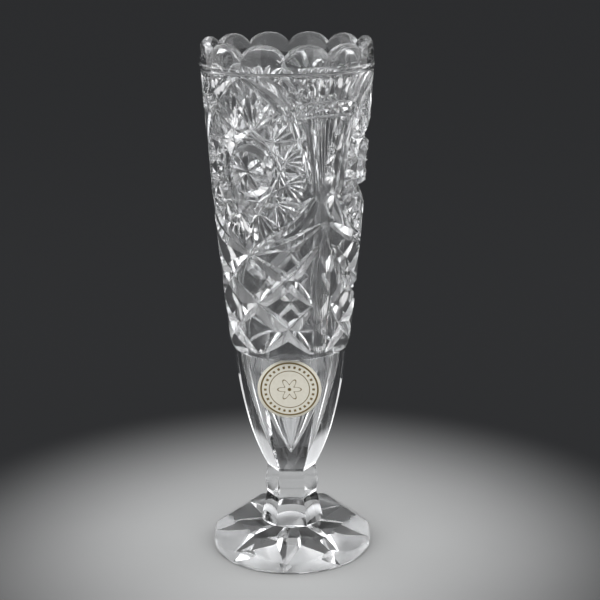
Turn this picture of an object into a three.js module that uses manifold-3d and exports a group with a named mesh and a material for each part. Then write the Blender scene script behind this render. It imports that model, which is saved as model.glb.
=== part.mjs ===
// A tall footed vase of cut lead crystal, with a round paper label on the front of its bowl.
// Millimetres, +Z up. The origin is the centre of the face that the foot rests on. The front is -Y.
// Turns are degrees about +Z from the front towards +X.
import * as THREE from "three";
import Module from "manifold-3d";

const wasm = await Module();
wasm.setup();

// ---- Driving dimensions ----
const HEIGHT = 210; // the resting face to the tips of the scallops
const SCALLOPS = 12;
const SCALLOP_DROP = 4.2; // from a tip down to the notch between two scallops
const SCALLOP_FULLNESS = 0.93; // how round a scallop is: 0 a parabola, 1 a half circle
const LIP_FOOT = 199; // the plain lip band ends here
const LEDGE = 86.8; // underside of the patterned body, where the six-sided bowl starts
const KNOB_TOP = 34.4;
const FOOT_TOP = 21.4;
const FOOT_RADIUS = 33;
const CAVITY_BOTTOM = 43;
const ROUND_SIDES = 48; // four to each scallop
const FOOT_SIDES = 36;
const PRISM_SIDES = 12; // two to each flat of the knob and bowl

// Outer skin of the patterned body before it is cut: height, radius.
const SKIN = [
  [88.2, 23.6],
  [92, 24.5],
  [109, 26.4],
  [138, 29.1],
  [170, 31.6],
  [198, 33.5],
];
// Radius to the corners of the six-sided bowl.
const BOWL = [
  [KNOB_TOP, 9.8],
  [38.5, 11.8],
  [44, 14.1],
  [51, 16.5],
  [60, 18.8],
  [70, 20.8],
  [81.5, 22.4],
];
// Radius to the corners of the six-sided knob.
const KNOB = [
  [FOOT_TOP, 10.6],
  [22.6, 10.2],
  [25.2, 10.8],
  [28, 11],
  [31.4, 10.5],
];
// Radius of the smooth inside.
const CAVITY = [
  [44, 1.2],
  [48, 3.2],
  [54, 6.3],
  [61, 9.3],
  [70, 12.7],
  [82, 16.2],
  [104, 19.5],
  [135, 22.6],
  [175, 26.5],
  [200, 29.6],
];

// The cut pattern repeats on three sectors. Each has a medallion and, 60 degrees on, a column.
const SECTORS = 3;
const MEDALLION_TURN = -30;
const COLUMN_TURN = 30;
const BOSS = { height: 162.5, radius: 8.8, groove: 10.9, outer: 16.3, depth: 3.6, rays: 8 };
const NODE_PITCH = 10.3; // height between rows of the diamond lattice
const LATTICE_TOP = 130.2;
const STRIP_HALF = 8.5; // half the width of the ribbed strip below the column, in degrees
const LEAF = { half: 2.6, depth: 2.3 };
const LONG_LEAF = { half: 2, depth: 1.5 };
const MITRE = { half: 1.3, depth: 1.2 };
const RIB = { half: 0.8, depth: 0.8 };
const BOSS_RAY = { half: 1.2, depth: 0.8 };
const STAR_POINTS = 12; // leaves that stand round the boss
const RAY_START = 15.5; // where they start and end, from its centre
const RAY_END = 25;

// Star cut in the underside of the foot.
const STAR = { rays: 8, tip: 29.5, depth: 7, half: 9, turn: -4.5 };

const LABEL = { radius: 12.7, height: 73.6, thickness: 0.25, gap: 0.3, sides: 32 };

const GLASS_COLOUR = 0xe9edf0;
const PAPER_COLOUR = 0xded7c3;

// ---- Helpers ----
const radians = THREE.MathUtils.degToRad;

function place(turn, radius, height) {
  const t = radians(turn);
  return [radius * Math.sin(t), -radius * Math.cos(t), height];
}

// Radius at a height on a smooth curve through [height, radius] pairs.
function smooth(points) {
  const slope = points.map((p, i) => {
    const a = points[Math.max(i - 1, 0)];
    const b = points[Math.min(i + 1, points.length - 1)];
    return (b[1] - a[1]) / (b[0] - a[0]);
  });
  return (height) => {
    let i = points.findIndex((p) => p[0] > height) - 1;
    if (height <= points[0][0]) i = 0;
    if (i < 0) i = points.length - 2;
    const [z0, r0] = points[i];
    const [z1, r1] = points[i + 1];
    const span = z1 - z0;
    const u = THREE.MathUtils.clamp((height - z0) / span, 0, 1);
    const a = (1 + 2 * u) * (1 - u) * (1 - u) * r0 + u * (1 - u) * (1 - u) * span * slope[i];
    return a + u * u * (3 - 2 * u) * r1 - u * u * (1 - u) * span * slope[i + 1];
  };
}

const skinAt = smooth(SKIN);
const bowlAt = smooth(BOWL);

// A manifold solid from points and triangles, turned right side out if they face inwards.
function solid(points, triangles) {
  const [a, b, c] = [new THREE.Vector3(), new THREE.Vector3(), new THREE.Vector3()];
  let volume = 0;
  for (const [i, j, k] of triangles) {
    volume += a.fromArray(points[i]).dot(b.fromArray(points[j]).cross(c.fromArray(points[k])));
  }
  const facing = volume > 0 ? triangles : triangles.map(([i, j, k]) => [i, k, j]);
  return new wasm.Manifold(
    new wasm.Mesh({
      numProp: 3,
      vertProperties: new Float32Array(points.flat()),
      triVerts: new Uint32Array(facing.flat()),
    }),
  );
}

// A closed solid through rings of equal count. Its two ends are fans to the points first and last.
function loft(rings, first, last) {
  const count = rings[0].length;
  const points = rings.flat();
  const triangles = [];
  const low = points.push(first) - 1;
  const high = points.push(last) - 1;
  const top = (rings.length - 1) * count;
  for (let j = 0; j < count; j++) {
    const k = (j + 1) % count;
    triangles.push([low, k, j], [high, top + j, top + k]);
    for (let i = 0; i < top; i += count) {
      triangles.push([i + j, i + k, i + count + k], [i + j, i + count + k, i + count + j]);
    }
  }
  return solid(points, triangles);
}

// A ring of places whose radius and height are functions of the turn, or plain numbers.
function ring(count, radius, height) {
  return Array.from({ length: count }, (_, i) => {
    const turn = (360 * i) / count;
    const r = typeof radius === "function" ? radius(turn) : radius;
    const z = typeof height === "function" ? height(turn) : height;
    return place(turn, r, z);
  });
}

const aroundCentre = (turn, period) =>
  (((turn + period / 2) % period) + period) % period - period / 2;

// Top of the wavy rim: notches at turn 0 and every scallop on from it.
function rimTop(turn) {
  const u = aroundCentre(turn + 180 / SCALLOPS, 360 / SCALLOPS) / (180 / SCALLOPS);
  const c = SCALLOP_FULLNESS;
  const fall = (1 - Math.sqrt(1 - (c * u) ** 2)) / (1 - Math.sqrt(1 - c * c));
  return HEIGHT - SCALLOP_DROP * fall;
}

// Radius of a hexagon with corners at the given radius, its flats facing turns 0, 60 and so on.
// flatness 1 is the hexagon and 0 is the circle through its corners.
function hexagon(corner, flatness = 1) {
  return (turn) => {
    const flat = Math.cos(radians(30)) / Math.cos(radians(aroundCentre(turn, 60)));
    return corner * (1 + flatness * (flat - 1));
  };
}

// ---- The uncut glass ----
// Patterned body and scalloped lip, solid through.
function upperBody() {
  const rim = (down) => (turn) => rimTop(turn) - down;
  const rings = [
    ring(ROUND_SIDES, 15, LEDGE),
    ring(ROUND_SIDES, 22.5, LEDGE),
    ...SKIN.map(([z, r]) => ring(ROUND_SIDES, r, z)),
    ring(ROUND_SIDES, 33.9, LIP_FOOT + 0.8),
    ring(ROUND_SIDES, 33.7, LIP_FOOT + 3),
    ring(ROUND_SIDES, 33.5, rim(1.4)),
    ring(ROUND_SIDES, 33, rim(0.4)),
    ring(ROUND_SIDES, 32.2, rim(0)),
    ring(ROUND_SIDES, 28, rim(0)),
  ];
  return loft(rings, [0, 0, LEDGE], [0, 0, HEIGHT - 1]);
}

// Foot: a low six-sided pyramid that rounds over into a circular edge.
function foot() {
  const across = (turn) => (30 - Math.abs(aroundCentre(turn, 60))) / 30;
  const rounded = (radius, height, dip) =>
    ring(FOOT_SIDES, radius, (turn) => height - dip * across(turn));
  const rings = [
    ring(FOOT_SIDES, FOOT_RADIUS - 0.9, 0),
    ring(FOOT_SIDES, FOOT_RADIUS - 0.2, 0.7),
    ring(FOOT_SIDES, FOOT_RADIUS, 2.8),
    rounded(FOOT_RADIUS - 0.6, 5, 0.4),
    rounded(FOOT_RADIUS - 1.8, 7.5, 1),
    rounded(FOOT_RADIUS - 4.2, 10, 2),
    ring(FOOT_SIDES, hexagon(KNOB[0][1]), FOOT_TOP),
  ];
  return loft(rings, [0, 0, 0], [0, 0, FOOT_TOP]);
}

// Six-sided knob and bowl, solid through, rooted inside the foot.
function prism() {
  const rings = [
    ring(PRISM_SIDES, hexagon(KNOB[0][1] - 2), FOOT_TOP - 3),
    ...[...KNOB, ...BOWL].map(([z, r]) => ring(PRISM_SIDES, hexagon(r), z)),
    ring(PRISM_SIDES, hexagon(21.3, 0.68), LEDGE),
    ring(PRISM_SIDES, hexagon(21.3, 0.68), LEDGE + 2),
  ];
  return loft(rings, [0, 0, FOOT_TOP - 3], [0, 0, LEDGE + 2]);
}

// The inside, up through the mouth, with the lip's inner edge rounded off.
function cavity() {
  const rim = (up) => (turn) => rimTop(turn) + up;
  const rings = [
    ...CAVITY.map(([z, r]) => ring(ROUND_SIDES, r, z)),
    ring(ROUND_SIDES, 30.1, rim(-1.2)),
    ring(ROUND_SIDES, 30.9, rim(-0.25)),
    ring(ROUND_SIDES, 31.9, rim(0.5)),
    ring(ROUND_SIDES, 31.9, HEIGHT + 3),
  ];
  return loft(rings, [0, 0, CAVITY_BOTTOM], [0, 0, HEIGHT + 3]);
}

// ---- Cuts ----
// Each cut is { path, size, width }: a V-shaped groove along a path of [turn, height] places on the
// skin, with the half width and depth of size where width(u) is 1, u running from 0 to 1 along it.
const LIFT = 0.8; // how far a cutter stands out of the glass
const onSkin = ([turn, height], out) => place(turn, skinAt(height) + out, height);
const degreesPerMm = (height) => 1 / (radians(1) * skinAt(height));

function grooveCutter({ path, size, width }) {
  const last = path.length - 1;
  const rings = path.slice(1, last).map((spot, i) => {
    const share = width((i + 1) / last);
    const [before, after] = [path[i], path[i + 2]];
    const scale = degreesPerMm(spot[1]);
    const along = (after[0] - before[0]) / scale;
    const rise = after[1] - before[1];
    const reach = (size.half * share + (LIFT * size.half) / size.depth) / Math.hypot(along, rise);
    const across = [-rise * reach * scale, along * reach];
    return [
      onSkin([spot[0] + across[0], spot[1] + across[1]], LIFT),
      onSkin(spot, LIFT * 2),
      onSkin([spot[0] - across[0], spot[1] - across[1]], LIFT),
      onSkin(spot, -size.depth * share),
    ];
  });
  return loft(rings, onSkin(path[0], 0.1), onSkin(path[last], 0.1));
}

// Points on a straight path, or one that leans sideways by bow degrees in its middle.
const spread = (from, to, steps, bow = 0) =>
  Array.from({ length: steps + 1 }, (_, i) => {
    const u = i / steps;
    const lean = 4 * bow * u * (1 - u);
    return [from[0] + (to[0] - from[0]) * u + lean, from[1] + (to[1] - from[1]) * u];
  });

const leaf = (from, to, size) => ({ path: spread(from, to, 2), size, width: () => 1 });
const longLeaf = (from, to, size, bow = 0) => ({
  path: spread(from, to, 4, bow),
  size,
  width: (u) => Math.sin(Math.PI * u) ** 0.8,
});
const mitre = (path, size) => ({ path, size, width: () => 1 });

// A place at a distance and clock angle (0 up, 90 towards +X) from the medallion's centre.
function onMedallion(distance, clock) {
  const height = BOSS.height + distance * Math.cos(radians(clock));
  const side = distance * Math.sin(radians(clock));
  return [MEDALLION_TURN + side * degreesPerMm(height), height];
}

// Every cut between one medallion's axis and the column beside it.
function halfSectorCuts() {
  const row = (n) => LATTICE_TOP - n * NODE_PITCH;
  const middle = (MEDALLION_TURN + COLUMN_TURN) / 2;
  const edge = COLUMN_TURN - STRIP_HALF;
  const cuts = [];
  // Flat diamonds between leaf-shaped cuts, which meet at nodes.
  for (const n of [1, 3]) {
    for (const side of [-1, 1]) {
      cuts.push(leaf([middle, row(n)], [MEDALLION_TURN, row(n + side)], LEAF));
      cuts.push(leaf([middle, row(n)], [edge, row(n + side)], LEAF));
    }
  }
  // Double arch that encloses the medallion, and the two long leaves below it.
  for (const radius of [36, 33]) {
    const path = [0, 20, 40, 60, 80, 100].map((clock) => onMedallion(radius, clock));
    cuts.push(mitre(path, MITRE));
  }
  cuts.push(longLeaf([edge - 1, 155], [MEDALLION_TURN, row(0)], LONG_LEAF, 4));
  cuts.push(longLeaf([edge - 1, 142], [MEDALLION_TURN, row(0)], LONG_LEAF, 2));
  // Wheat sheaf, ribbed strip and fan on the column.
  for (const k of [1, 3]) {
    cuts.push(leaf([COLUMN_TURN - 3.6 * k, 184], [COLUMN_TURN - 1.2 * k, 143], RIB));
    cuts.push(leaf([COLUMN_TURN - 2 * k, 139], [COLUMN_TURN - 2 * k, 91], RIB));
    cuts.push(leaf([COLUMN_TURN - 4 * k, 188], [COLUMN_TURN - 9 * k, 197.5], MITRE));
  }
  // Leaves that stand round the boss.
  const step = 360 / STAR_POINTS;
  for (let clock = step / 2; clock < 180; clock += step) {
    cuts.push(leaf(onMedallion(RAY_START, clock), onMedallion(RAY_END, clock), MITRE));
  }
  return cuts;
}

// The cuts that stand on a sector's own axes.
function axisCuts() {
  const cuts = [leaf([COLUMN_TURN, 188], [COLUMN_TURN, 197.5], MITRE)];
  for (let k = 0; k < BOSS.rays; k++) {
    const clock = (360 / BOSS.rays) * k;
    cuts.push(leaf(onMedallion(0.6, clock), onMedallion(7.2, clock), BOSS_RAY));
  }
  return cuts;
}

// The round groove that leaves the boss standing.
function bossGroove(shift) {
  const steps = 24;
  const section = [
    [BOSS.radius - 0.9, LIFT],
    [BOSS.groove, -BOSS.depth],
    [BOSS.outer + 0.9, LIFT],
    [BOSS.groove, LIFT * 2],
  ];
  const points = [];
  const triangles = [];
  const at = (step, corner) => (step % steps) * 4 + (corner % 4);
  for (let i = 0; i < steps; i++) {
    for (const [distance, out] of section) {
      const [turn, height] = onMedallion(distance, (360 * i) / steps);
      points.push(onSkin([turn + shift, height], out));
    }
    for (let j = 0; j < 4; j++) {
      triangles.push([at(i, j), at(i, j + 1), at(i + 1, j + 1)]);
      triangles.push([at(i, j), at(i + 1, j + 1), at(i + 1, j)]);
    }
  }
  return solid(points, triangles);
}

// The whole pattern: each sector's cuts, and the same seen in the mirror on the medallion's axis.
function patternCutters() {
  const cutters = [];
  const copy = (cuts, move) => {
    for (const { path, size, width } of cuts) {
      const moved = path.map(([turn, height]) => [move(turn), height]);
      cutters.push(grooveCutter({ path: moved, size, width }));
    }
  };
  for (let k = 0; k < SECTORS; k++) {
    const shift = (360 / SECTORS) * k;
    copy(halfSectorCuts(), (turn) => turn + shift);
    copy(halfSectorCuts(), (turn) => 2 * MEDALLION_TURN - turn + shift);
    copy(axisCuts(), (turn) => turn + shift);
    cutters.push(bossGroove(shift));
  }
  return cutters;
}

// Eight V-shaped rays that meet at the centre of the underside.
function starCuts() {
  const below = 0.5;
  const grow = 1 + below / STAR.depth;
  return Array.from({ length: STAR.rays }, (_, k) => {
    const turn = STAR.turn + (360 / STAR.rays) * k;
    const side = (way) => place(turn + 90 * way, STAR.half * grow, -below);
    return solid(
      [[0, 0, STAR.depth], side(-1), side(1), place(turn, STAR.tip * grow, -below)],
      [
        [0, 1, 3],
        [0, 3, 2],
        [0, 2, 1],
        [1, 2, 3],
      ],
    );
  });
}

const combine = (solids) => solids.reduce((all, next) => all.add(next));

function crystalVase() {
  return upperBody()
    .add(prism())
    .add(foot())
    .subtract(cavity())
    .subtract(combine(patternCutters()))
    .subtract(combine(starCuts()));
}

// ---- The label ----
// A thin disc that follows the upright curve of the bowl's front flat.
function roundLabel() {
  const flat = (height) => bowlAt(height) * Math.cos(radians(30));
  const lean = Math.atan2(flat(LABEL.height + 5) - flat(LABEL.height - 5), 10);
  const rows = [];
  for (const [share, out] of [
    [0.5, 0],
    [1, 0],
    [1, LABEL.thickness],
    [0.5, LABEL.thickness],
  ]) {
    rows.push(
      Array.from({ length: LABEL.sides }, (_, i) => {
        const t = (2 * Math.PI * i) / LABEL.sides;
        const z = LABEL.height + LABEL.radius * share * Math.sin(t) * Math.cos(lean);
        return [LABEL.radius * share * Math.cos(t), -(flat(z) + LABEL.gap + out), z];
      }),
    );
  }
  const centre = (out) => [0, -(flat(LABEL.height) + LABEL.gap + out), LABEL.height];
  return loft(rows, centre(0), centre(LABEL.thickness));
}

// ---- The scene graph ----
function mesh(name, manifold, material) {
  const made = manifold.getMesh();
  const geometry = new THREE.BufferGeometry();
  geometry.setAttribute("position", new THREE.BufferAttribute(made.vertProperties, 3));
  geometry.setIndex(new THREE.BufferAttribute(made.triVerts, 1));
  geometry.computeVertexNormals();
  const result = new THREE.Mesh(geometry, material);
  result.name = name;
  return result;
}

const crystal = new THREE.MeshStandardMaterial({
  color: GLASS_COLOUR,
  roughness: 0.03,
  metalness: 0,
  transparent: true,
  opacity: 0.35,
});
const paper = new THREE.MeshStandardMaterial({ color: PAPER_COLOUR, roughness: 0.7, metalness: 0 });

const vase = new THREE.Group();
vase.add(mesh("crystal_vase", crystalVase(), crystal));
vase.add(mesh("round_label", roundLabel(), paper));

export default vase;
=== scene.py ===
"""The looks of a tall footed vase of cut lead crystal with a round paper label on its bowl.

Shapes are worked out in millimetres and turned into metres as each piece is finished.
Turns are degrees about +Z from the front (-Y) towards +X.
"""

import math

import bmesh
import bpy
from mathutils import Matrix, Vector


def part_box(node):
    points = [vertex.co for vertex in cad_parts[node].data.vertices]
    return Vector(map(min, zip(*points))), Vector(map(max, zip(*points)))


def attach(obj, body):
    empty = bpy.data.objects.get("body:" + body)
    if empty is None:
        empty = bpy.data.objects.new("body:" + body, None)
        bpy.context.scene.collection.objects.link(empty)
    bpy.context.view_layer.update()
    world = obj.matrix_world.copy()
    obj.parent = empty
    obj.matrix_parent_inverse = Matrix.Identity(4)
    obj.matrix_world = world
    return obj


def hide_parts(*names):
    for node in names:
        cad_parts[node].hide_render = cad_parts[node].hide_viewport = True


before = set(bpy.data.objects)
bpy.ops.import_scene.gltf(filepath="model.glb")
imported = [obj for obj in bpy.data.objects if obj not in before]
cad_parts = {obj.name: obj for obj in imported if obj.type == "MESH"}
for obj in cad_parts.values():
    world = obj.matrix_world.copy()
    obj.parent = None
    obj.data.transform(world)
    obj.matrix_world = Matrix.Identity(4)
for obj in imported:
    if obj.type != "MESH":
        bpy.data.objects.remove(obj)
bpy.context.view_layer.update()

METRE = 1000.0  # millimetres
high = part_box("crystal_vase")[1] * METRE

# ---- Driving dimensions, in millimetres and degrees ----
HEIGHT = high.z
WIDEST = high.x  # radius of the bead under the lip
SCALLOPS = 12
SCALLOP_DROP = 4.2
SCALLOP_FULLNESS = 0.93  # how round a scallop is: 0 a parabola, 1 a half circle
SKIN_TOP = 198.3
LIP_FOOT = 199
LEDGE = 86.8
KNOB_TOP = 34.4
FOOT_TOP = 21.4
FOOT_RADIUS = 33
FOOT_SLOPE = 0.716
CAVITY_BOTTOM = 43
ROUND_SIDES = 144
PRISM_SIDES = 36
FLAT_SHARE = math.cos(math.radians(30))  # a hexagon's flats, as a share of its corners

# Smooth profiles, as (height, radius). The radius of the bowl and knob is to their corners.
SKIN = [(88.2, 23.6), (92, 24.5), (109, 26.4), (138, 29.1), (170, 31.6), (198, 33.5)]
BOWL = [
    (KNOB_TOP, 9.8), (38.5, 11.8), (44, 14.1), (51, 16.5), (60, 18.8), (70, 20.8), (81.5, 22.4),
]
KNOB = [(FOOT_TOP, 10.6), (22.6, 10.2), (25.2, 10.8), (28, 11), (31.4, 10.5), (KNOB_TOP, 9.8)]
CAVITY = [
    (43.8, 0.7), (48, 3.2), (54, 6.3), (61, 9.3), (70, 12.7), (82, 16.2), (104, 19.5), (135, 22.6),
    (175, 26.5), (200, 29.6),
]

# Rounded edges, as (radius, height over the ledge), (radius, height over the lip's foot),
# (radius, depth below the wavy rim) twice, and (radius, height).
LEDGE_EDGE = [(15, 0), (22.5, 0), (23.2, 0.5)]
BEAD = [
    (33.25, -0.3), (33.7, 0.2), (WIDEST, 0.8), (WIDEST - 0.06, 1.4), (WIDEST - 0.2, 2.4), (33.6, 4),
]
RIM_OUTSIDE = [(33.5, 1.9), (33.35, 1.1), (33.0, 0.45), (32.6, 0.12), (32.1, 0), (28, 0)]
RIM_INSIDE = [(29.95, 1.9), (30.15, 1.1), (30.5, 0.45), (30.9, 0.12), (31.9, -0.5)]
FOOT_EDGE = [
    (FOOT_RADIUS - 0.9, 0), (FOOT_RADIUS - 0.5, 0.2), (FOOT_RADIUS - 0.15, 0.7), (FOOT_RADIUS, 1.6),
]

# The pattern repeats on three sectors. Each has a medallion and, 60 degrees on, a column, and
# the two sides of either are mirror images.
SECTORS = 3
MEDALLION_TURN = -30
COLUMN_TURN = 30
CENTRE_HEIGHT = 162.5  # of the boss in the middle of the medallion
NODE_PITCH = 10.3
LATTICE_TOP = 130.2
STRIP_HALF = 8.5
STRIP_FOOT = 87.6
BAND_FOOT = 184
BAND_TOP = 188.6
FAN_FOOT = 189.2
FAN_TOP = 198.2

STAR_POINTS = 12
STAR_RADIUS = 16.5
BOSS_EDGE = 8.2
BOSS_GROOVE = 10.8
BOSS_OUTER = 16.4
BOSS_DEPTH = 3.6
BOSS_RAYS = 8
LIFT = 0.8  # how far a cutter stands out of the glass
TIP_LIFT = 0.15  # the same at the two ends of a groove

LABEL_RADIUS = 12.7
LABEL_MIDDLE = 73.6
LABEL_THICKNESS = 0.2
LABEL_GAP = 0.05

# Where the floor's painted pool of light starts to fade, and where it has faded to painted dark, in
# millimetres from the axis.
PAINTED_POOL_REACH = 30
PAINTED_DARK_REACH = 175
FLOOR_REACH = 12000


# ---- Shapes ----
def place(turn, radius, height):
    t = math.radians(turn)
    return Vector((radius * math.sin(t), -radius * math.cos(t), height))


def smooth(points):
    """Radius at a height on a smooth curve through (height, radius) pairs."""
    slopes = []
    for i in range(len(points)):
        a = points[max(i - 1, 0)]
        b = points[min(i + 1, len(points) - 1)]
        slopes.append((b[1] - a[1]) / (b[0] - a[0]))

    def at(height):
        i = 0
        while i < len(points) - 2 and points[i + 1][0] <= height:
            i += 1
        (z0, r0), (z1, r1) = points[i], points[i + 1]
        span = z1 - z0
        u = min(max((height - z0) / span, 0), 1)
        v = 1 - u
        start = v * v * ((1 + 2 * u) * r0 + u * span * slopes[i])
        return start + u * u * ((3 - 2 * u) * r1 - v * span * slopes[i + 1])

    return at


def rows(start, end, step):
    """Evenly spaced heights from start to end, both included."""
    count = max(1, round((end - start) / step))
    return [start + (end - start) * i / count for i in range(count + 1)]


def value(rule, turn):
    return rule(turn) if callable(rule) else rule


def ring(count, radius, height):
    """Points round the axis. The radius and the height may be rules of the turn."""
    turns = [360 * i / count for i in range(count)]
    return [place(t, value(radius, t), value(height, t)) for t in turns]


def around(turn, period):
    """The turn from the nearest multiple of the period."""
    return (turn + period / 2) % period - period / 2


def to_object(name, points, faces):
    mesh = bpy.data.meshes.new(name)
    mesh.from_pydata(points, [], faces)
    shape = bmesh.new()
    shape.from_mesh(mesh)
    bmesh.ops.recalc_face_normals(shape, faces=shape.faces)
    shape.to_mesh(mesh)
    shape.free()
    made = bpy.data.objects.new(name, mesh)
    bpy.context.scene.collection.objects.link(made)
    return made


def loft(name, rings, first, last):
    """A closed solid through rings of equal count, with fans to the points first and last."""
    count = len(rings[0])
    points = [p for one in rings for p in one] + [first, last]
    bottom, top = len(points) - 2, len(points) - 1
    end = (len(rings) - 1) * count
    faces = []
    for j in range(count):
        k = (j + 1) % count
        faces.append((bottom, k, j))
        faces.append((top, end + j, end + k))
        for i in range(0, end, count):
            faces.append((i + j, i + k, i + count + k, i + count + j))
    return to_object(name, points, faces)


def combine(target, operation, operands):
    """Joins or cuts the target with every operand, and deletes the operands."""
    group = bpy.data.collections.new("operands")
    for operand in operands:
        group.objects.link(operand)
    step = target.modifiers.new("combine", "BOOLEAN")
    step.operation = operation
    step.solver = "MANIFOLD"
    step.operand_type = "COLLECTION"
    step.collection = group
    shown = target.evaluated_get(bpy.context.evaluated_depsgraph_get())
    result = bpy.data.meshes.new_from_object(shown)
    target.modifiers.clear()
    target.data = result
    for operand in operands:
        bpy.data.objects.remove(operand)
    bpy.data.collections.remove(group)


skin_at = smooth(SKIN)
bowl_at = smooth(BOWL)
knob_at = smooth(KNOB)
cavity_at = smooth(CAVITY)


def rim_top(turn):
    """Height of the wavy rim, with notches at turn 0 and every scallop on from it."""
    u = around(turn + 180 / SCALLOPS, 360 / SCALLOPS) / (180 / SCALLOPS)
    c = SCALLOP_FULLNESS
    fall = (1 - math.sqrt(1 - (c * u) ** 2)) / (1 - math.sqrt(1 - c * c))
    return HEIGHT - SCALLOP_DROP * fall


def rim_ring(radius, down):
    """A ring that follows the wavy rim at a depth below it."""
    return ring(ROUND_SIDES, radius, lambda turn: rim_top(turn) - down)


def hexagon(corner, flatness=1):
    """Radius of a hexagon with flats facing turns 0, 60 and on, or part way to its circle."""
    def radius(turn):
        flat = FLAT_SHARE / math.cos(math.radians(around(turn, 60)))
        return corner * (1 + flatness * (flat - 1))
    return radius


# ---- The uncut glass ----
def upper_body():
    spacing = 2.2
    rings = [ring(ROUND_SIDES, radius, LEDGE + up) for radius, up in LEDGE_EDGE]
    rings += [ring(ROUND_SIDES, skin_at(z), z) for z in rows(SKIN[0][0], SKIN_TOP, spacing)]
    rings += [ring(ROUND_SIDES, radius, LIP_FOOT + up) for radius, up in BEAD]
    rings += [rim_ring(radius, down) for radius, down in RIM_OUTSIDE]
    return loft("crystal_glass", rings, Vector((0, 0, LEDGE)), Vector((0, 0, HEIGHT - 1)))


def foot_height(radius, turn):
    """A six-sided pyramid that rounds over into a circular edge."""
    rounding_from, edge_height, edge_rise = 27, 2.8, 8.5
    across = radius * math.cos(math.radians(around(turn, 60)))
    pyramid = FOOT_TOP - FOOT_SLOPE * (across - KNOB[0][1] * FLAT_SHARE)
    share = min(max((radius - rounding_from) / (FOOT_RADIUS - rounding_from), 0), 1)
    rounded = edge_height + edge_rise * math.sqrt(1 - share * share)
    return min(pyramid, rounded)


def foot():
    rings = [ring(ROUND_SIDES, radius, height) for radius, height in FOOT_EDGE]
    close = [33, 32.93, 32.75, 32.5, 32.2, 31.8, 31.3, 30.6, 29.8, 28.8]
    for radius in close + [close[-1] - 2 * i for i in range(1, 9)]:
        rings.append(ring(ROUND_SIDES, radius, lambda t, r=radius: foot_height(r, t)))
    rings.append(ring(ROUND_SIDES, hexagon(KNOB[0][1]), FOOT_TOP))
    return loft("foot", rings, Vector((0, 0, 0)), Vector((0, 0, FOOT_TOP)))


def prism():
    """Six-sided knob and bowl, solid through, rooted inside the foot and the body."""
    root, top = FOOT_TOP - 3, LEDGE + 2
    shoulder = [(21.9, 0.86, 84.2), (21.3, 0.68, LEDGE), (21.3, 0.68, top)]
    rings = [ring(PRISM_SIDES, hexagon(KNOB[0][1] - 2), root)]
    rings += [ring(PRISM_SIDES, hexagon(knob_at(z)), z) for z in rows(FOOT_TOP, KNOB_TOP, 1.0)]
    bowl_rows = rows(KNOB_TOP, BOWL[-1][0], 1.6)[1:]
    rings += [ring(PRISM_SIDES, hexagon(bowl_at(z)), z) for z in bowl_rows]
    rings += [ring(PRISM_SIDES, hexagon(corner, flatness), z) for corner, flatness, z in shoulder]
    return loft("prism", rings, Vector((0, 0, root)), Vector((0, 0, top)))


def cavity():
    spacing, top = 2.4, HEIGHT + 3
    cavity_rows = rows(CAVITY[0][0], CAVITY[-1][0], spacing)
    rings = [ring(ROUND_SIDES, cavity_at(z), z) for z in cavity_rows]
    rings += [rim_ring(radius, down) for radius, down in RIM_INSIDE]
    rings.append(ring(ROUND_SIDES, RIM_INSIDE[-1][0], top))
    return loft("cavity", rings, Vector((0, 0, CAVITY_BOTTOM)), Vector((0, 0, top)))


# ---- Cuts ----
def on_skin(spot, out):
    return place(spot[0], skin_at(spot[1]) + out, spot[1])


def degrees_per_mm(height):
    return 1 / (math.radians(1) * skin_at(height))


def groove(spots, half, depth, width):
    """A V-shaped cutter along (turn, height) spots, which may say how far they are sunk as well.

    width(u) scales its half width and depth.
    """
    last = len(spots) - 1
    rings = []
    for i in range(1, last):
        share = width(i / last)
        spot = spots[i]
        sunk = spot[2] if len(spot) > 2 else 0
        scale = degrees_per_mm(spot[1])
        along = (spots[i + 1][0] - spots[i - 1][0]) / scale
        rise = spots[i + 1][1] - spots[i - 1][1]
        reach = (half * share + (LIFT + sunk) * half / depth) / math.hypot(along, rise)
        turn, height = -rise * reach * scale, along * reach
        rings.append([
            on_skin((spot[0] + turn, spot[1] + height), LIFT),
            on_skin(spot, LIFT * 2),
            on_skin((spot[0] - turn, spot[1] - height), LIFT),
            on_skin(spot, -sunk - depth * share),
        ])
    return loft("cutter", rings, on_skin(spots[0], TIP_LIFT), on_skin(spots[last], TIP_LIFT))


def curve(points, steps):
    """A smooth path through (turn, height) points."""
    ends = [points[0]] + list(points) + [points[-1]]

    def between(p, q, r, s, u):
        linear = (r - p) * u
        square = (2 * p - 5 * q + 4 * r - s) * u * u
        cube = (3 * q - p - 3 * r + s) * u ** 3
        return 0.5 * (2 * q + linear + square + cube)

    spots = []
    for i in range(1, len(ends) - 2):
        for j in range(steps):
            spots.append(tuple(between(*along, j / steps) for along in zip(*ends[i - 1:i + 3])))
    return spots + [points[-1]]


def lens(fullness):
    """Widest in the middle, and nothing at both ends."""
    return lambda u: math.sin(math.pi * u) ** fullness


def even(taper_start, taper_end):
    """Full width, but for a taper over these shares of the length at either end."""
    def width(u):
        rise = min(u / taper_start, 1)
        fall = min((1 - u) / taper_end, 1)
        return (rise * fall) ** 0.65
    return width


def wedge(u):
    """Over half its full width at the start, and nothing at the end."""
    return math.sin(math.pi * (0.15 + 0.85 * u)) ** 0.7


def on_medallion(distance, clock):
    """A spot at a distance and clock angle (0 up, 90 towards +X) from the medallion's centre."""
    height = CENTRE_HEIGHT + distance * math.cos(math.radians(clock))
    side = distance * math.sin(math.radians(clock))
    return (MEDALLION_TURN + side * degrees_per_mm(height), height)


def outline(clock):
    """Distance from the medallion's centre to where its leaves end."""
    wide, upper, lower, squareness = 23.5, 29.5, 28.0, 2.4
    c, s = abs(math.cos(math.radians(clock))), abs(math.sin(math.radians(clock)))
    tall = upper if math.cos(math.radians(clock)) > 0 else lower
    return ((c / tall) ** squareness + (s / wide) ** squareness) ** (-1 / squareness)


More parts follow.
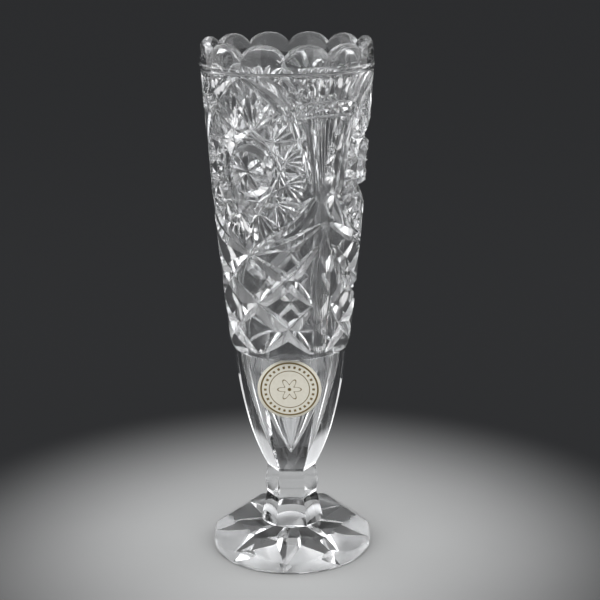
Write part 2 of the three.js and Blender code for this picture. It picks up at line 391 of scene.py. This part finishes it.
def star_line(clock):
    """A line of the star, from one of its points to the one a quarter round, sunk in the dish."""
    steps = 12
    tip = STAR_RADIUS + 0.6
    start, end = on_medallion(tip, clock), on_medallion(tip, clock + 90)
    spots = []
    for i in range(steps + 1):
        u = i / steps
        away = tip * math.sqrt(0.5 + 0.5 * (2 * u - 1) ** 2)
        share = (BOSS_OUTER - away) / (BOSS_OUTER - BOSS_GROOVE - 0.8)
        spots.append((
            start[0] + (end[0] - start[0]) * u, start[1] + (end[1] - start[1]) * u,
            BOSS_DEPTH * max(share, 0),
        ))
    return spots


def leaf_end(clock, lean):
    """Where a leaf that starts at a point of the star and has this lean crosses the outline."""
    first, last, step = 1.0, 13.75, 0.25
    x = STAR_RADIUS * math.sin(math.radians(clock))
    y = STAR_RADIUS * math.cos(math.radians(clock))
    for length in rows(first, last, step):
        far_x = x + length * math.sin(math.radians(lean))
        far_y = y + length * math.cos(math.radians(lean))
        distance = math.hypot(far_x, far_y)
        far_clock = math.degrees(math.atan2(far_x, far_y))
        if distance > outline(far_clock):
            break
    return on_medallion(distance, far_clock)


# Each cut is a path, a half width, a depth, and the rule that scales both along the path.
def medallion_cuts():
    """The twelve-pointed star round the boss, and a fan of leaves at each of its points."""
    leaf_spread = 21
    cuts = []
    step = 360 / STAR_POINTS
    for n in range(STAR_POINTS):
        clock = step * (n + 0.5)
        cuts.append((star_line(clock), 0.9, 1.6, lens(0.3)))
        near = on_medallion(STAR_RADIUS - 0.3, clock)
        for k in range(-2, 3):
            far = leaf_end(clock, clock + leaf_spread * k)
            half = 1.3 - 0.1 * abs(k)
            cuts.append((curve([near, far], 7), half, 1.6, lens(0.6)))
    return cuts


def boss_cuts():
    """Wedges that meet in the middle of the boss."""
    first_clock = 8
    cuts = []
    for k in range(BOSS_RAYS):
        clock = 360 / BOSS_RAYS * k + first_clock
        path = curve([on_medallion(0, clock), on_medallion(BOSS_EDGE + 0.4, clock)], 6)
        cuts.append((path, 1.7, 1.9, wedge))
    return cuts


def boss_groove(shift):
    """The round groove that leaves the boss standing."""
    steps = 96
    section = [
        (BOSS_EDGE - 1.0, LIFT), (BOSS_EDGE - 0.2, -0.3), (BOSS_EDGE + 0.8, -1.4),
        (BOSS_GROOVE - 0.6, -BOSS_DEPTH), (BOSS_GROOVE + 0.8, -BOSS_DEPTH),
        (BOSS_OUTER, 0), (BOSS_OUTER + 0.9, LIFT), (BOSS_GROOVE, LIFT * 2),
    ]
    count = len(section)
    points = []
    faces = []
    for i in range(steps):
        for distance, out in section:
            turn, height = on_medallion(distance, 360 * i / steps)
            points.append(on_skin((turn + shift, height), out))
        k = (i + 1) % steps
        for j in range(count):
            m = (j + 1) % count
            faces.append((i * count + j, i * count + m, k * count + m, k * count + j))
    return to_object("cutter", points, faces)


def lattice_cuts():
    """One long diagonal right across the medallion's axis, and two that stop there."""
    half, depth = 3.2, 2.8
    m = MEDALLION_TURN
    middle = (m + COLUMN_TURN) / 2
    edge = COLUMN_TURN - STRIP_HALF
    top, first, second, third, fourth = [LATTICE_TOP - n * NODE_PITCH for n in range(5)]
    across = [
        (edge + 3, 134), (middle, first), (m, second), (m - 30, third), (m - 30 - edge - 3, fourth),
    ]
    cuts = [(curve(across, 8), half, depth, even(0.25, 0.25))]
    for path in ([(edge, second), (middle, first), (m, top)],
                 [(edge, second), (middle, third), (m, fourth)]):
        cuts.append((curve(path, 8), half, depth, even(0.5, 0.5)))
    return cuts


def frame_cuts():
    """What stands round a medallion: the leaves that sweep up to the column, and the arch."""
    start = (MEDALLION_TURN, LATTICE_TOP)
    upper_leaf = [start, (-15.4, 136), (-4.2, 139.5), (5, 142.8), (12, 146.5), (21, 153.6)]
    lower_leaf = [start, (-15, 132.9), (-4, 134.4), (6, 136.4), (16, 139.3), (27, 142.4)]
    arch = [
        (MEDALLION_TURN, 198), (-21.5, 195.6), (-11, 191.8), (-5, 188.6), (1, 184.3), (7.4, 178),
        (12.2, 171.8), (16.2, 162.8), (19, 153.5),
    ]
    outer_leaf = [(-17, 198.2), (-8.5, 195.8), (-1, 191.9), (5, 186.6)]
    return [
        (curve(upper_leaf, 4), 1.7, 2.1, lens(0.5)),
        (curve(lower_leaf, 4), 2.2, 2.3, lens(0.5)),
        (curve(arch, 4), 2.1, 2.4, lens(0.4)),
        (curve(outer_leaf, 5), 1.8, 1.3, lens(0.6)),
    ]


def column_cuts():
    """One side of the column: a sheaf of ribs, a ribbed strip below it, a band and a fan above."""
    c = COLUMN_TURN
    cuts = []
    for k in range(4):
        n = k + 0.5
        rib = [(c - 3.5 * n, 183.4 - 0.3 * k * k), (c - 1.5 * n, 160), (c - 0.7 * n, 140)]
        cuts.append((curve(rib, 8), 1.3, 1.5, lens(0.5)))
    for k, reach in enumerate((1.1, 3.3, 5.5)):
        rib = [(c - 0.6 * reach, 141 - 2 * k), (c - reach, 112), (c - reach, STRIP_FOOT + k)]
        cuts.append((curve(rib, 6), 0.8, 1.1, lens(0.4)))
    for k in range(1, 5):
        base = c - 5 * k
        cuts.append((curve([(base, FAN_FOOT), (base - 3 * k, FAN_TOP)], 6), 1.5, 2.0, lens(0.6)))
    for k in range(3):
        near, far = c - 7.6 * k, c - 7.6 * (k + 1)
        drop_near, drop_far = 0.05 * k * k, 0.05 * (k + 1) ** 2
        for first, second in ((BAND_FOOT, BAND_TOP), (BAND_TOP, BAND_FOOT)):
            path = [(near, first - drop_near), (far, second - drop_far)]
            cuts.append((curve(path, 4), 1.2, 1.1, lens(0.4)))
    return cuts


def half_cuts():
    """Every cut between a medallion's axis and the column's, whose mirror image is cut as well."""
    return lattice_cuts() + frame_cuts() + column_cuts()


def axis_cuts():
    """The cuts that stand on the column's own axis or cross it evenly."""
    c = COLUMN_TURN
    cuts = [(curve([(c, FAN_FOOT), (c, FAN_TOP)], 6), 1.75, 1.4, lens(0.6))]
    for height in (183.6, 188.8):
        arc = [(c + d, height - 0.001 * d * d) for d in (-23, -11, 0, 11, 23)]
        cuts.append((curve(arc, 6), 0.5, 0.35, lens(0.5)))
    return cuts


def pattern_cutters():
    cutters = []
    for n in range(SECTORS):
        shift = 360 / SECTORS * n
        for spots, half, depth, width in medallion_cuts() + boss_cuts() + axis_cuts() + half_cuts():
            moved = [(spot[0] + shift, *spot[1:]) for spot in spots]
            cutters.append(groove(moved, half, depth, width))
        for spots, half, depth, width in half_cuts():
            moved = [(2 * MEDALLION_TURN - t + shift, z) for t, z in spots]
            cutters.append(groove(moved, half, depth, width))
        cutters.append(boss_groove(shift))
    return cutters


def star_cutters():
    """Eight V-shaped rays that meet at the centre of the underside."""
    rays, tip, depth, half, turned, below = 8, 29.5, 7.0, 9, -4.5, 0.5
    grow = 1 + below / depth
    cutters = []
    for k in range(rays):
        turn = turned + 360 / rays * k
        points = [
            Vector((0, 0, depth)), place(turn - 90, half * grow, -below),
            place(turn + 90, half * grow, -below), place(turn, tip * grow, -below),
        ]
        faces = [(0, 1, 3), (0, 3, 2), (0, 2, 1), (1, 2, 3)]
        cutters.append(to_object("ray", points, faces))
    return cutters


# ---- Pieces ----
def tidy(made):
    """Merges points that lie too close to tell apart, and drops those on a straight edge."""
    shape = bmesh.new()
    shape.from_mesh(made.data)
    bmesh.ops.remove_doubles(shape, verts=shape.verts, dist=0.002)
    bmesh.ops.dissolve_degenerate(shape, edges=shape.edges, dist=0.001)
    slack = [point for point in shape.verts if len(point.link_edges) == 2]
    bmesh.ops.dissolve_verts(shape, verts=slack)
    shape.to_mesh(made.data)
    shape.free()


def shade(made, sharp):
    """Turns a finished piece into metres and smooths it, but for edges over sharp degrees."""
    made.data.transform(Matrix.Scale(1 / METRE, 4))
    made.data.shade_smooth()
    made.data.set_sharp_from_angle(angle=math.radians(sharp))


def crystal_glass(material):
    made = upper_body()
    combine(made, "UNION", [prism(), foot()])
    combine(made, "DIFFERENCE", [cavity()])
    combine(made, "DIFFERENCE", pattern_cutters() + star_cutters())
    made.data.materials.clear()
    made.data.materials.append(material)
    tidy(made)
    shade(made, sharp=18)
    return made


def round_label(material):
    """A thin paper disc that follows the upright curve of the bowl's front flat."""
    sides, circles, bevel = 96, 8, 0.05

    def flat(height):
        return bowl_at(height) * FLAT_SHARE

    lean = math.cos(math.atan2(flat(LABEL_MIDDLE + 5) - flat(LABEL_MIDDLE - 5), 10))

    def spot(share, angle, out):
        height = LABEL_MIDDLE + LABEL_RADIUS * share * math.sin(angle) * lean
        side = LABEL_RADIUS * share * math.cos(angle)
        return Vector((side, -(flat(height) + LABEL_GAP + out), height))

    def loop(share, out):
        return [spot(share, 2 * math.pi * i / sides, out) for i in range(sides)]

    shares = [i / circles for i in range(1, circles + 1)]
    rings = [loop(s, 0) for s in shares]
    rings.append(loop(1, LABEL_THICKNESS - bevel))
    rings += [loop(s, LABEL_THICKNESS) for s in [0.995] + shares[-2::-1]]
    centres = [spot(0, 0, out) for out in (0, LABEL_THICKNESS)]
    made = loft("round_paper_label", rings, *centres)
    made.data.materials.append(material)
    shade(made, sharp=40)
    return made


# ---- Materials, in metres ----
class Nodes:
    """A node tree, with short calls for the nodes that are used most."""

    def __init__(self, tree):
        self.tree = tree

    def add(self, kind, **settings):
        node = self.tree.nodes.new(kind)
        for key, setting in settings.items():
            setattr(node, key, setting)
        return node

    def link(self, source, target):
        self.tree.links.new(source, target)

    def fill(self, sockets, terms):
        """Gives each socket its number, or a link from its output."""
        for socket, term in zip(sockets, terms):
            if isinstance(term, (int, float)):
                socket.default_value = term
            else:
                self.link(term, socket)

    def math(self, operation, first, second=0.0, third=0.0):
        node = self.add("ShaderNodeMath", operation=operation)
        self.fill(node.inputs, (first, second, third))
        return node.outputs[0]

    def split(self, source):
        """The X, Y and Z of a vector."""
        node = self.add("ShaderNodeSeparateXYZ")
        self.link(source, node.inputs[0])
        return node.outputs

    def ranged(self, source, start, end, low_to, high_to, **settings):
        """A source that runs from start to end, as a number from low_to to high_to."""
        node = self.add("ShaderNodeMapRange", **settings)
        self.fill(node.inputs, (source, start, end, low_to, high_to))
        return node.outputs[0]


class Surface(Nodes):
    """A new material's nodes."""

    def __init__(self, name):
        self.material = bpy.data.materials.new(name)
        self.material.use_nodes = True
        super().__init__(self.material.node_tree)
        self.shader = self.tree.nodes["Principled BSDF"]
        self.place = self.add("ShaderNodeTexCoord").outputs["Object"]

    def noise(self, scale, detail=2.0):
        node = self.add("ShaderNodeTexNoise")
        node.inputs["Scale"].default_value = scale
        node.inputs["Detail"].default_value = detail
        self.link(self.place, node.inputs["Vector"])
        return node.outputs["Fac"]

    def distance(self, axes):
        """Distance from the origin, measured along these axes only."""
        kept = self.add("ShaderNodeVectorMath", operation="MULTIPLY")
        kept.inputs[1].default_value = axes
        self.link(self.place, kept.inputs[0])
        node = self.add("ShaderNodeVectorMath", operation="LENGTH")
        self.link(kept.outputs[0], node.inputs[0])
        return node.outputs["Value"]

    def blend(self, factor, first, second):
        node = self.add("ShaderNodeMix", data_type="RGBA")
        self.link(factor, node.inputs["Factor"])
        for socket, colour in ((node.inputs[6], first), (node.inputs[7], second)):
            if isinstance(colour, tuple):
                socket.default_value = (*colour, 1)
            else:
                self.link(colour, socket)
        return node.outputs[2]

    def bump(self, height, strength, distance):
        node = self.add("ShaderNodeBump")
        node.inputs["Strength"].default_value = strength
        node.inputs["Distance"].default_value = distance
        self.link(height, node.inputs["Height"])
        self.link(node.outputs["Normal"], self.shader.inputs["Normal"])
        return node

    def drive(self, **outputs):
        """Links an output to each of these inputs of the shader."""
        for key, output in outputs.items():
            self.link(output, self.shader.inputs[key.replace("_", " ")])


def crystal_material():
    """Clear glass: ground under the foot, a film where it is cut, and a hazed inner wall."""
    index, ground_haze, wear_haze, cut_haze, inner_haze = 1.55, 0.32, 0.035, 0.02, 0.06
    ground_top, ground_end = 0.00003, 0.00008
    cut_foot, cut_top = (0.0866, 0.0872), (0.1975, 0.1985)
    inner_heights, inner_radii = (0.082, 0.200), (0.0172, 0.0304)
    film_low, film_high, film_off_cuts = 0.04, 0.075, 0.2
    rounding = 0.0002
    nodes = Surface("clear_lead_crystal")
    nodes.shader.inputs["IOR"].default_value = index
    tint = nodes.blend(nodes.noise(18), (0.965, 0.975, 0.985), (1.0, 1.0, 1.0))
    height = nodes.split(nodes.place)["Z"]
    above = nodes.ranged(height, *cut_foot, 0.0, 1.0)
    below = nodes.ranged(height, *cut_top, 1.0, 0.0)
    pattern = nodes.math("MULTIPLY", above, below)

    # Haze of each kind, of which the strongest counts.
    ground = nodes.ranged(height, ground_top, ground_end, ground_haze, 0.0)
    wear = nodes.ranged(nodes.noise(220, 3), 0.45, 0.75, 0.0, wear_haze)
    cut = nodes.math("MULTIPLY", pattern, cut_haze)
    inner_radius = nodes.ranged(height, *inner_heights, *inner_radii)
    inside = nodes.math("LESS_THAN", nodes.distance((1, 1, 0)), inner_radius)
    pressed = nodes.math("MULTIPLY", nodes.math("MULTIPLY", inside, pattern), inner_haze)
    haze = ground
    for other in (wear, cut, pressed):
        haze = nodes.math("MAXIMUM", haze, other)

    film = nodes.ranged(nodes.noise(90, 4), 0.3, 0.7, film_low, film_high)
    film = nodes.math("MULTIPLY", film, nodes.math("MAXIMUM", pattern, film_off_cuts))
    clear = nodes.math("SUBTRACT", 1.0, film)
    nodes.drive(Base_Color=tint, Transmission_Weight=clear, Roughness=haze)
    uneven = nodes.bump(nodes.noise(160, 1), 0.05, 0.0006)
    rounded = nodes.add("ShaderNodeBevel", samples=4)
    rounded.inputs["Radius"].default_value = rounding
    nodes.link(rounded.outputs["Normal"], uneven.inputs["Normal"])
    return nodes.material


def label_material():
    """Cream paper with gold rings, a ring of dots between them and a plain rosette."""
    dots, petals = 28, 6
    rosette_radius, petal_length = 3.4 / METRE, 1.3 / METRE
    line_half, line_end = 0.16 / METRE, 0.3 / METRE
    blur = 0.06  # of an edge of the print, in millimetres
    nodes = Surface("label_paper")
    parts = nodes.split(nodes.place)
    x = parts["X"]
    z = nodes.math("SUBTRACT", parts["Z"], LABEL_MIDDLE / METRE)
    squares = nodes.math("ADD", nodes.math("MULTIPLY", x, x), nodes.math("MULTIPLY", z, z))
    radius = nodes.math("SQRT", squares)
    angle = nodes.math("ARCTAN2", z, x)

    def band(centre, half):
        away = nodes.math("ABSOLUTE", nodes.math("SUBTRACT", radius, centre / METRE))
        return nodes.ranged(away, (half - blur) / METRE, (half + blur) / METRE, 1, 0)

    def wave(count):
        return nodes.math("COSINE", nodes.math("MULTIPLY", angle, count))

    dotted = nodes.math("MULTIPLY", band(9.6, 0.5), nodes.ranged(wave(dots), 0.1, 0.35, 0, 1))
    petal = nodes.math("MULTIPLY", wave(petals), petal_length)
    from_petal = nodes.math("SUBTRACT", radius, nodes.math("ADD", petal, rosette_radius))
    rosette = nodes.ranged(nodes.math("ABSOLUTE", from_petal), line_half, line_end, 1, 0)
    ink = band(8.0, 0.16)
    for mark in (band(11.3, 0.34), dotted, rosette, band(0.0, 0.7)):
        ink = nodes.math("MAXIMUM", ink, mark)
    fibre = nodes.noise(900, 4)
    paper = nodes.blend(fibre, (0.74, 0.70, 0.585), (0.86, 0.825, 0.72))
    gold = nodes.blend(nodes.noise(500, 2), (0.20, 0.14, 0.045), (0.30, 0.22, 0.08))
    nodes.drive(
        Base_Color=nodes.blend(ink, paper, gold),
        Metallic=nodes.math("MULTIPLY", ink, 0.55),
        Roughness=nodes.ranged(ink, 0, 1, 0.62, 0.34),
    )
    nodes.bump(nodes.math("ADD", nodes.math("MULTIPLY", fibre, 0.4), ink), 0.35, 0.00008)
    return nodes.material


def floor_material():
    """Pale round the vase and painted darker with distance: a painted pool of light round the vase
    that fades to a painted dark surround.
    """
    nodes = Surface("pale_floor")
    # Painted light: the floor's colour is pale near the vase and painted dark further out, a
    # painted pool of light and not a lamp's.
    painted_falloff = nodes.ranged(
        nodes.distance((1, 1, 1)), PAINTED_POOL_REACH / METRE, PAINTED_DARK_REACH / METRE, 0, 1,
        interpolation_type="SMOOTHSTEP",
    )
    pale = nodes.blend(nodes.noise(14, 5), (0.34, 0.34, 0.337), (0.38, 0.38, 0.377))
    # Painted dark: stands in for the unlit floor beyond the painted pool of light.
    dark = (0.0195, 0.0199, 0.0208)
    nodes.drive(
        Base_Color=nodes.blend(painted_falloff, pale, dark),
        Roughness=nodes.ranged(nodes.noise(60, 3), 0.3, 0.7, 0.8, 0.95),
    )
    nodes.shader.inputs["Specular IOR Level"].default_value = 0.0
    nodes.bump(nodes.noise(700, 3), 0.06, 0.0002)
    return nodes.material


# ---- Floor, lights and camera ----
def floor():
    """A round floor that the vase stands on, with a painted pool of light round the vase."""
    thickness, spacing = 10, 40
    gap = 0.05  # keeps the floor's face apart from the foot's
    reaches = [FLOOR_REACH] + [spacing * i for i in range(19, 0, -1)]
    rings = [ring(ROUND_SIDES, FLOOR_REACH, -thickness)]
    rings += [ring(ROUND_SIDES, reach, 0) for reach in reaches]
    made = loft("floor", rings, Vector((0, 0, -thickness)), Vector((0, 0, 0)))
    made.data.transform(Matrix.Translation((0, 0, -gap)))
    made.data.materials.append(floor_material())
    shade(made, sharp=30)


def softbox(name, turn, elevation, distance, width, height, radiance):
    """A rectangular area light that faces the vase. radiance is the brightness of its face."""
    data = bpy.data.lights.new(name, "AREA")
    data.shape = "RECTANGLE"
    data.size, data.size_y = width, height
    data.energy = radiance * math.pi * width * height
    light = bpy.data.objects.new(name, data)
    bpy.context.scene.collection.objects.link(light)
    rise = math.radians(elevation)
    middle = Vector((0, 0, HEIGHT / 2 / METRE))
    light.location = middle + place(turn, distance * math.cos(rise), distance * math.sin(rise))
    light.rotation_euler = (middle - light.location).to_track_quat("-Z", "Y").to_euler()
    light.visible_camera = False


def dome():
    """A bright sky in four faint lobes, which fades to dark below it and behind the vase."""
    lobes, lobe_depth, strength, behind = 4, 0.3, 2.0, 0.15
    stops = [(0.035, 0.02), (0.11, 0.68), (1.0, 0.8)]  # share of the way up, and brightness
    cool = (0.985, 0.995, 1.01)
    world = bpy.data.worlds.new("studio_dome")
    bpy.context.scene.world = world
    world.use_nodes = True
    nodes = Nodes(world.node_tree)
    parts = nodes.split(nodes.add("ShaderNodeTexCoord").outputs["Generated"])
    ramp = nodes.add("ShaderNodeValToRGB")
    nodes.link(parts["Z"], ramp.inputs["Fac"])
    ramp.color_ramp.elements.new(stops[1][0])
    for element, (position, level) in zip(ramp.color_ramp.elements, stops):
        element.position = position
        element.color = (*[level * share for share in cool], 1)
    turn = nodes.math("ARCTAN2", parts["X"], parts["Y"])
    lobed = nodes.math("COSINE", nodes.math("MULTIPLY", turn, lobes))
    round_dome = nodes.math("MULTIPLY_ADD", lobed, -lobe_depth, strength)
    back = nodes.ranged(parts["Y"], 0.4, 0.85, 1.0, behind, interpolation_type="SMOOTHSTEP")
    background = world.node_tree.nodes["Background"]
    nodes.link(ramp.outputs["Color"], background.inputs["Color"])
    nodes.link(nodes.math("MULTIPLY", round_dome, back), background.inputs["Strength"])


def studio():
    """The dome, and soft boxes given in degrees and metres."""
    dome()
    softbox("overhead", 0, 62, distance=1.1, width=0.8, height=0.6, radiance=1.0)
    softbox("front_left", -50, 4, distance=1.2, width=0.8, height=1.2, radiance=0.78)
    softbox("front_right", 54, 4, distance=1.2, width=0.7, height=1.2, radiance=0.78)
    softbox("left", -108, 6, distance=1.0, width=0.7, height=0.9, radiance=0.95)
    softbox("right", 110, 6, distance=1.0, width=0.7, height=0.9, radiance=0.9)
    bpy.context.scene.view_settings.view_transform = "Standard"


def camera():
    """The view of the front from slightly above."""
    distance, height, turn = 545.95, 255.25, 1.626
    pitch, yaw, roll = 15.358, 0.434, -0.534
    lens_mm, sensor_mm = 84.0, 36
    data = bpy.data.cameras.new("camera")
    data.lens = lens_mm
    data.sensor_width = sensor_mm
    made = bpy.data.objects.new("camera", data)
    bpy.context.scene.collection.objects.link(made)
    made.location = place(turn, distance, height) / METRE
    heading, down, tilt = math.radians(yaw - turn), math.radians(pitch), math.radians(roll)
    ahead = Vector((math.sin(heading), math.cos(heading), 0))
    forward = ahead * math.cos(down) - Vector((0, 0, math.sin(down)))
    level = forward.cross(Vector((0, 0, 1))).normalized()
    upright = level.cross(forward)
    right = level * math.cos(tilt) + upright * math.sin(tilt)
    up = upright * math.cos(tilt) - level * math.sin(tilt)
    made.rotation_euler = Matrix((right, up, -forward)).transposed().to_euler()
    bpy.context.scene.camera = made


camera()
glass = crystal_glass(crystal_material())
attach(glass, "root")
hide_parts("crystal_vase")

label = round_label(label_material())
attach(label, "root")
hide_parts("round_label")

floor()
studio()
bpy.context.scene.cycles.max_bounces = 24
bpy.context.scene.cycles.transmission_bounces = 24
bpy.context.scene.cycles.glossy_bounces = 12
bpy.context.scene.cycles.caustics_refractive = False
bpy.context.scene.cycles.caustics_reflective = False
